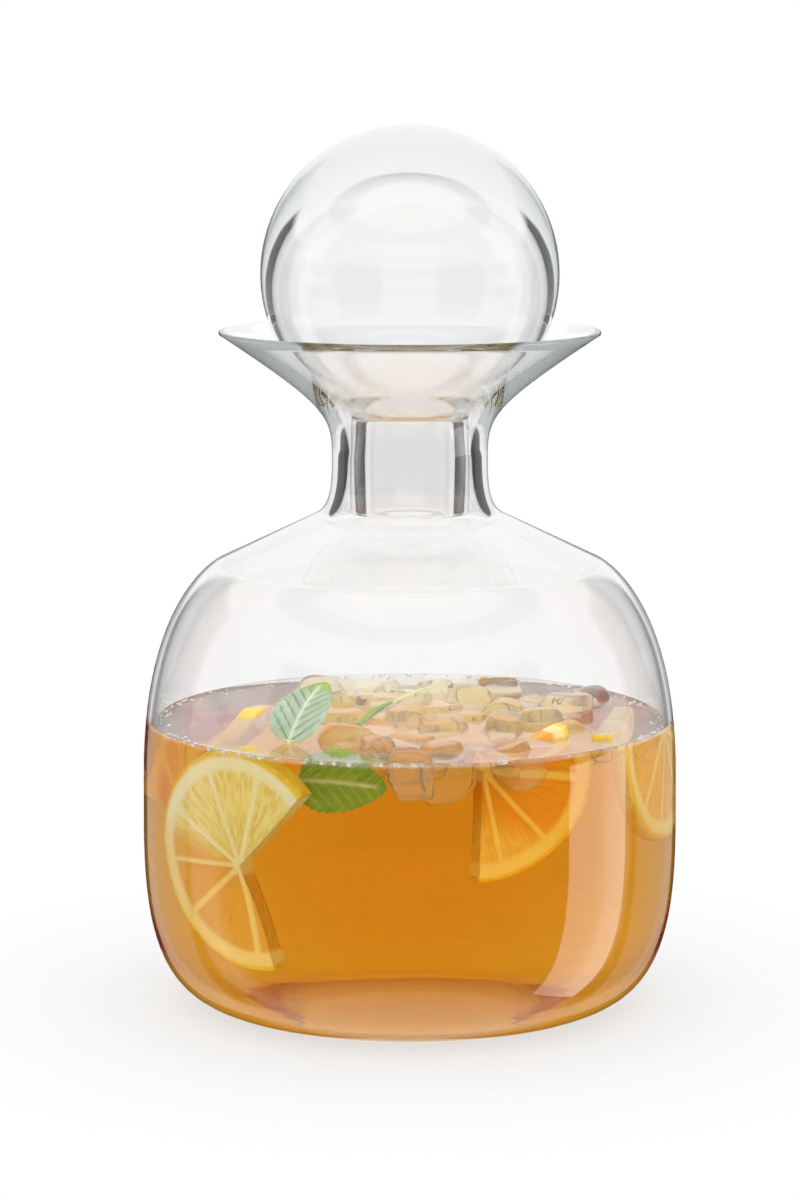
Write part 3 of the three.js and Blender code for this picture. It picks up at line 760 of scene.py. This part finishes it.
mint = {
    "thickness": 0.6, "teeth": 11, "toothDepth": 0.12, "veins": 7, "veinSweep": 2.6, "pucker": 0.55,
    "baseRound": 0.5, "tipPoint": 0.85, "stemHalf": 0.55,
    "bladeFade": 0.04, "stemTip": 0.97, "footFade": 0.01,
    "veinWidth": 0.09, "veinEdge": 0.75, "midribHalf": 0.5, "midribEnd": 0.8, "puckerWidth": 0.2,
    # the pale underside, partly a painted sheen of reflected light, fades out between 0.7 and 0.95 of the
    # blade
    "thinAtFoot": 0.02, "thinAtTip": 0.95, "frostSheenEnd": (0.95, 0.7), "stemFade": 0.03,
    "rows": 110, "columns": 41,
}
leaves = {
    "mint_leaf_upright": {"length": 22, "width": 18, "bend": 0.1, "cup": 0.1, "bearing": -40, "setIn": 19.1,
                          "sink": 0.9, "along": (0.45, 0.65, 0.7), "face": (-0.4, -0.58, 0.79),
                          "underOut": True, "stem": 0.06, "turned": False},
    "mint_leaf_leaning": {"length": 25, "width": 11, "bend": 0.06, "cup": 0.16, "bearing": -47, "setIn": 46.9,
                          "sink": 1.6, "along": (17, 8, 9), "face": (-0.52, 0.08, 0.84),
                          "underOut": False, "stem": 0.45, "turned": True},
    "mint_leaf_sunken": {"length": 23, "width": 17, "bend": 0.08, "cup": 0.1, "bearing": -30.2, "setIn": 12.8,
                         "sink": 7, "along": (21, -5.5, -1), "face": (-0.3, -1, 0.45),
                         "underOut": False, "stem": 0.05, "turned": False},
}


# from a leaf's own axes to its place: x along it, y across and z out of its face, from its foot in the drink
def standLeaf(points, leaf):
    ahead = np.array(leaf["along"], float)
    ahead /= np.linalg.norm(ahead)
    sideways = np.cross(np.array(leaf["face"], float), ahead)
    sideways /= np.linalg.norm(sideways)
    basis = np.stack([ahead, sideways, np.cross(ahead, sideways)])
    bearing = np.radians(leaf["bearing"])
    out = wallAt(tea["level"]) - leaf["setIn"]
    foot = np.array([np.sin(bearing) * out, -np.cos(bearing) * out, tea["level"] - leaf["sink"]])
    return points.reshape(-1, 3) @ basis + foot


# a leaf is a loop over its upper side and back under it, carried along its length t. Its half width is
# t^baseRound (1 - t)^tipPoint with saw teeth, and it puckers up between veins that run forwards to the edge
def mintLeaf(plant, leaf):
    along = np.linspace(0, 1, plant["rows"])[:, None]
    loop = np.linspace(0, 2, 2 * plant["columns"] - 1)[None, :-1]
    across = np.where(loop <= 1, 2 * loop - 1, 3 - 2 * loop)
    upperSide = np.where(loop <= 1, 1.0, -1.0)
    blade = np.clip((along - leaf["stem"]) / (1 - leaf["stem"]), 0, 1)
    inBlade = smoothStep(0, plant["bladeFade"], blade)
    widest = plant["baseRound"] / (plant["baseRound"] + plant["tipPoint"])
    width = (blade / widest) ** plant["baseRound"] * ((1 - blade) / (1 - widest)) ** plant["tipPoint"]
    tooth = plant["toothDepth"] * np.mod(blade * plant["teeth"], 1) * inBlade
    half = plant["stemHalf"] * smoothStep(1.0, plant["stemTip"], along)
    half = half + (leaf["width"] / 2 - plant["stemHalf"]) * width * (1 - tooth)
    half = half * smoothStep(0, plant["footFade"], along)
    veinPhase = blade * plant["veins"] - np.abs(across) * plant["veinSweep"] * width
    fromVein = np.abs(veinPhase - np.round(veinPhase))
    sideVein = np.exp(-(fromVein / plant["veinWidth"]) ** 2)
    sideVein = sideVein * smoothStep(1, plant["veinEdge"], np.abs(across)) * inBlade
    y = across * half
    x = np.broadcast_to(along * leaf["length"], y.shape)
    midrib = np.exp(-(y / plant["midribHalf"]) ** 2) * smoothStep(1, plant["midribEnd"], blade)
    swell = plant["pucker"] * (1 - np.exp(-(fromVein / plant["puckerWidth"]) ** 2))
    swell = swell * (1 - midrib) * (1 - across ** 4) * width
    share = 1 - along if leaf["turned"] else along
    rise = leaf["bend"] * leaf["length"] * share * (1 - share) * 4 + leaf["cup"] * y * y / (leaf["width"] / 2)
    ends = np.sqrt(smoothStep(0, plant["thinAtFoot"], along) * smoothStep(1, plant["thinAtTip"], along))
    thick = plant["thickness"] / 2 * (1 - across ** 6) * ends
    top = -1.0 if leaf["underOut"] else 1.0
    points = np.stack([x, y, rise + top * swell + upperSide * thick], -1)
    if leaf["turned"]:
        points = points * [-1, -1, 1] + [leaf["length"], 0, 0]
    under = np.broadcast_to((upperSide * top < 0).astype(float), y.shape)
    # 1 over the blade and 0 at the tip: where the pale underside with its painted sheen of reflected light
    #                                    shows
    frostAndSheen = np.broadcast_to(smoothStep(*plant["frostSheenEnd"], blade), y.shape)
    stem = np.broadcast_to(1 - smoothStep(0, plant["stemFade"], blade), y.shape)
    masks = {"vein": sideVein, "midrib": midrib, "under": under, "frostAndSheen": frostAndSheen, "stem": stem}
    quads = gridQuads(plant["rows"], points.shape[1], wrapColumns=True)
    return standLeaf(points, leaf), quads, {key: value.reshape(-1) for key, value in masks.items()}


for node, leaf in leaves.items():
    addPiece(f"{node}_blade", buildMesh(f"{node}_blade", *mintLeaf(mint, leaf)), mintGreen, node)
print("mint made", len(leaves))


# Bubbles that ring the surface against the glass

bubbles = {
    "count": 260, "small": 0.25, "large": 0.75, "sizePower": 3, "spread": 3.5, "spreadPower": 2, "sink": 0.35,
    "seed": 5, "rows": 6, "columns": 8,
}


# each bubble is a small ball; its bearing, size and distance from the wall are drawn at random
def bubbleRing(foam):
    count = foam["count"]
    chance = np.random.default_rng(foam["seed"])
    bearing = chance.uniform(-np.pi, np.pi, count)
    size = foam["small"] + (foam["large"] - foam["small"]) * chance.random(count) ** foam["sizePower"]
    fromWall = size + chance.random(count) ** foam["spreadPower"] * foam["spread"]
    out = wallAt(tea["level"]) - fromWall
    height = teaTop(tea, fromWall) - size * foam["sink"]
    middle = np.stack([out * np.sin(bearing), -out * np.cos(bearing), height], 1)
    ball = ballDirections(foam["rows"], foam["columns"]).reshape(-1, 3)
    points = middle[:, None] + ball[None] * size[:, None, None]
    quads = gridQuads(foam["rows"], foam["columns"], wrapColumns=True)
    start = np.arange(count)[:, None, None] * len(ball)
    return points.reshape(-1, 3), (quads[None] + start).reshape(-1, 4)


addPiece("surface_bubbles", buildMesh("surface_bubbles", *bubbleRing(bubbles)), foamBubble, None)
print("bubbles made", bubbles["count"])


# Floor, light and camera: each pair but the softbox's size is where something begins and where it is full

studio = {
    "floorRadius": 0.22, "floorColor": (0.97, 0.97, 0.97, 1), "floorRough": 0.7, "floorFade": (0.06, 0.16),
    "floorShow": 0.4, "floorRows": 8, "floorSegments": 64,
    "plain": 0.95, "plainWet": 2.8, "dim": 0.02, "often": 0.8,
    "backdrop": (0.0, 0.2), "sky": (0.1, 0.16), "nearTable": (-0.7, -0.9),
    "boardSide": (0.35, 0.41), "boardTop": (0.46, 0.52), "boardFirst": 0.5,
    "stripFrom": (0.06, 0.1), "stripTo": (0.36, 0.44), "stripTop": (0.02, 0.1),
    "ceiling": (0.74, 0.78), "skylight": (0.86, 0.9),
    "softbox": 4, "softboxSize": (0.5, 0.9), "softboxPlace": (0.85, -0.08, -0.42),
    "lens": 108, "sensor": 36, "cameraPlace": (-0.0026, -0.9457, 0.2488), "cameraDown": 8.53,
    "glassBounces": 120,
}


# a round floor that thins out into the white round it
def addFloor(room):
    radius = np.linspace(0, room["floorRadius"], room["floorRows"]) / mm
    profile = np.stack([radius, np.zeros_like(radius)], 1)
    mesh = buildMesh("floor", *turn(profile, room["floorSegments"]))
    floor = bpy.data.objects.new("floor", mesh)
    bpy.context.collection.objects.link(floor)
    material, tree, shader = newMaterial("paleFloor")
    length = addNode(tree, "ShaderNodeVectorMath", {"operation": "LENGTH"}, n0=objectCoords(tree))
    out = length.outputs["Value"]
    setSockets(tree, shader, {
        "Base Color": room["floorColor"], "Roughness": room["floorRough"],
        "Alpha": mapRange(tree, out, *room["floorFade"], room["floorShow"], 0),
    })
    mesh.materials.append(material)
    floor.visible_glossy = floor.visible_transmission = False


# white to the camera and straight through the glass. Images mirrored once show white behind, above and
# steeply below, and a dim room elsewhere; boards, strips and a ceiling band in the white draw the glass's
# dark lines. Images mirrored more often show an even pale grey. Surfaces get a plain level, and a higher
# one inside the glass, which holds some of it back
def lightWorld(room):
    world = bpy.data.worlds.new("studio")
    bpy.context.scene.world = world
    world.use_nodes = True
    tree = world.node_tree
    background = tree.nodes["Background"]
    ray = addNode(tree, "ShaderNodeLightPath").outputs
    towards = addNode(tree, "ShaderNodeTexCoord").outputs["Generated"]
    x, y, z = addNode(tree, "ShaderNodeSeparateXYZ", Vector=towards).outputs[:3]
    mirrored = maths(tree, "MINIMUM", ray["Glossy Depth"], 1.0)
    again = maths(tree, "MAXIMUM", maths(tree, "SUBTRACT", ray["Glossy Depth"], 1.0), 0.0)
    twice = maths(tree, "MINIMUM", again, 1.0)
    inside = maths(tree, "MINIMUM", ray["Transmission Depth"], 1.0)
    onSurface = maths(tree, "MINIMUM", ray["Diffuse Depth"], 1.0)
    # how far a direction is from the nearer of the two level axes
    aside = maths(tree, "MINIMUM", maths(tree, "ABSOLUTE", x), maths(tree, "ABSOLUTE", y))
    # boards between the axes, weaker in reflections off the outside
    boards = maths(tree, "MULTIPLY", mapRange(tree, aside, *room["boardSide"], 0, 1),
                   mapRange(tree, z, *room["boardTop"], 1, 0))
    boards = maths(tree, "MULTIPLY", boards, mapRange(tree, inside, 0, 1, room["boardFirst"], 1))
    # strips beside the axes, only in reflections off the outside
    strips = maths(tree, "MULTIPLY", mapRange(tree, aside, *room["stripFrom"], 0, 1),
                   mapRange(tree, aside, *room["stripTo"], 1, 0))
    strips = maths(tree, "MULTIPLY", strips, mapRange(tree, z, *room["stripTop"], 1, 0))
    strips = maths(tree, "MULTIPLY", strips, maths(tree, "SUBTRACT", 1.0, inside))
    # a ceiling band, only for light that has been in the glass
    ceiling = maths(tree, "MULTIPLY", mapRange(tree, z, *room["ceiling"], 0, inside),
                    mapRange(tree, z, *room["skylight"], 1, 0))
    dark = maths(tree, "MAXIMUM", maths(tree, "MAXIMUM", boards, strips), ceiling)
    far = maths(tree, "MAXIMUM", mapRange(tree, y, *room["backdrop"], 0, 1),
                mapRange(tree, z, *room["sky"], 0, 1))
    far = maths(tree, "MULTIPLY", far, maths(tree, "SUBTRACT", 1.0, dark))
    near = mapRange(tree, z, *room["nearTable"], 0, 1)
    white = mixLevel(tree, mirrored, 1.0, maths(tree, "MAXIMUM", far, near))
    level = mixLevel(tree, twice, mixLevel(tree, white, room["dim"], 1.0), room["often"])
    surfaceLevel = mixLevel(tree, ray["Is Transmission Ray"], room["plain"], room["plainWet"])
    level = mixLevel(tree, onSurface, level, surfaceLevel)
    level = mixLevel(tree, ray["Is Camera Ray"], level, 1.0)
    setSockets(tree, background, {"Color": plainWhite, "Strength": level})


# a tall soft lamp at the right that shows as a pale stripe in the glass body and lights no other piece
def addSoftbox(room):
    lamp = bpy.data.lights.new("softbox", "AREA")
    lamp.shape, lamp.energy = "RECTANGLE", room["softbox"]
    lamp.size, lamp.size_y = room["softboxSize"]
    softbox = bpy.data.objects.new("softbox", lamp)
    bpy.context.collection.objects.link(softbox)
    softbox.location = room["softboxPlace"]
    softbox.rotation_euler = (np.pi / 2, 0, np.arctan2(room["softboxPlace"][0], -room["softboxPlace"][1]))
    softbox.visible_diffuse = softbox.visible_transmission = False
    lit = bpy.data.collections.new("softboxOn")
    lit.objects.link(bpy.data.objects["glass_body"])
    softbox.light_linking.receiver_collection = lit


def addCamera(room):
    lens = bpy.data.cameras.new("camera")
    lens.lens, lens.sensor_width = room["lens"], room["sensor"]
    camera = bpy.data.objects.new("camera", lens)
    bpy.context.collection.objects.link(camera)
    camera.location = room["cameraPlace"]
    camera.rotation_euler = (np.radians(90 - room["cameraDown"]), 0, 0)
    bpy.context.scene.camera = camera


addFloor(studio)
lightWorld(studio)
addSoftbox(studio)
addCamera(studio)
bpy.context.scene.view_settings.view_transform = "Standard"
lightPaths = bpy.context.scene.cycles
lightPaths.max_bounces = lightPaths.transmission_bounces = lightPaths.glossy_bounces = studio["glassBounces"]
print("studio made")
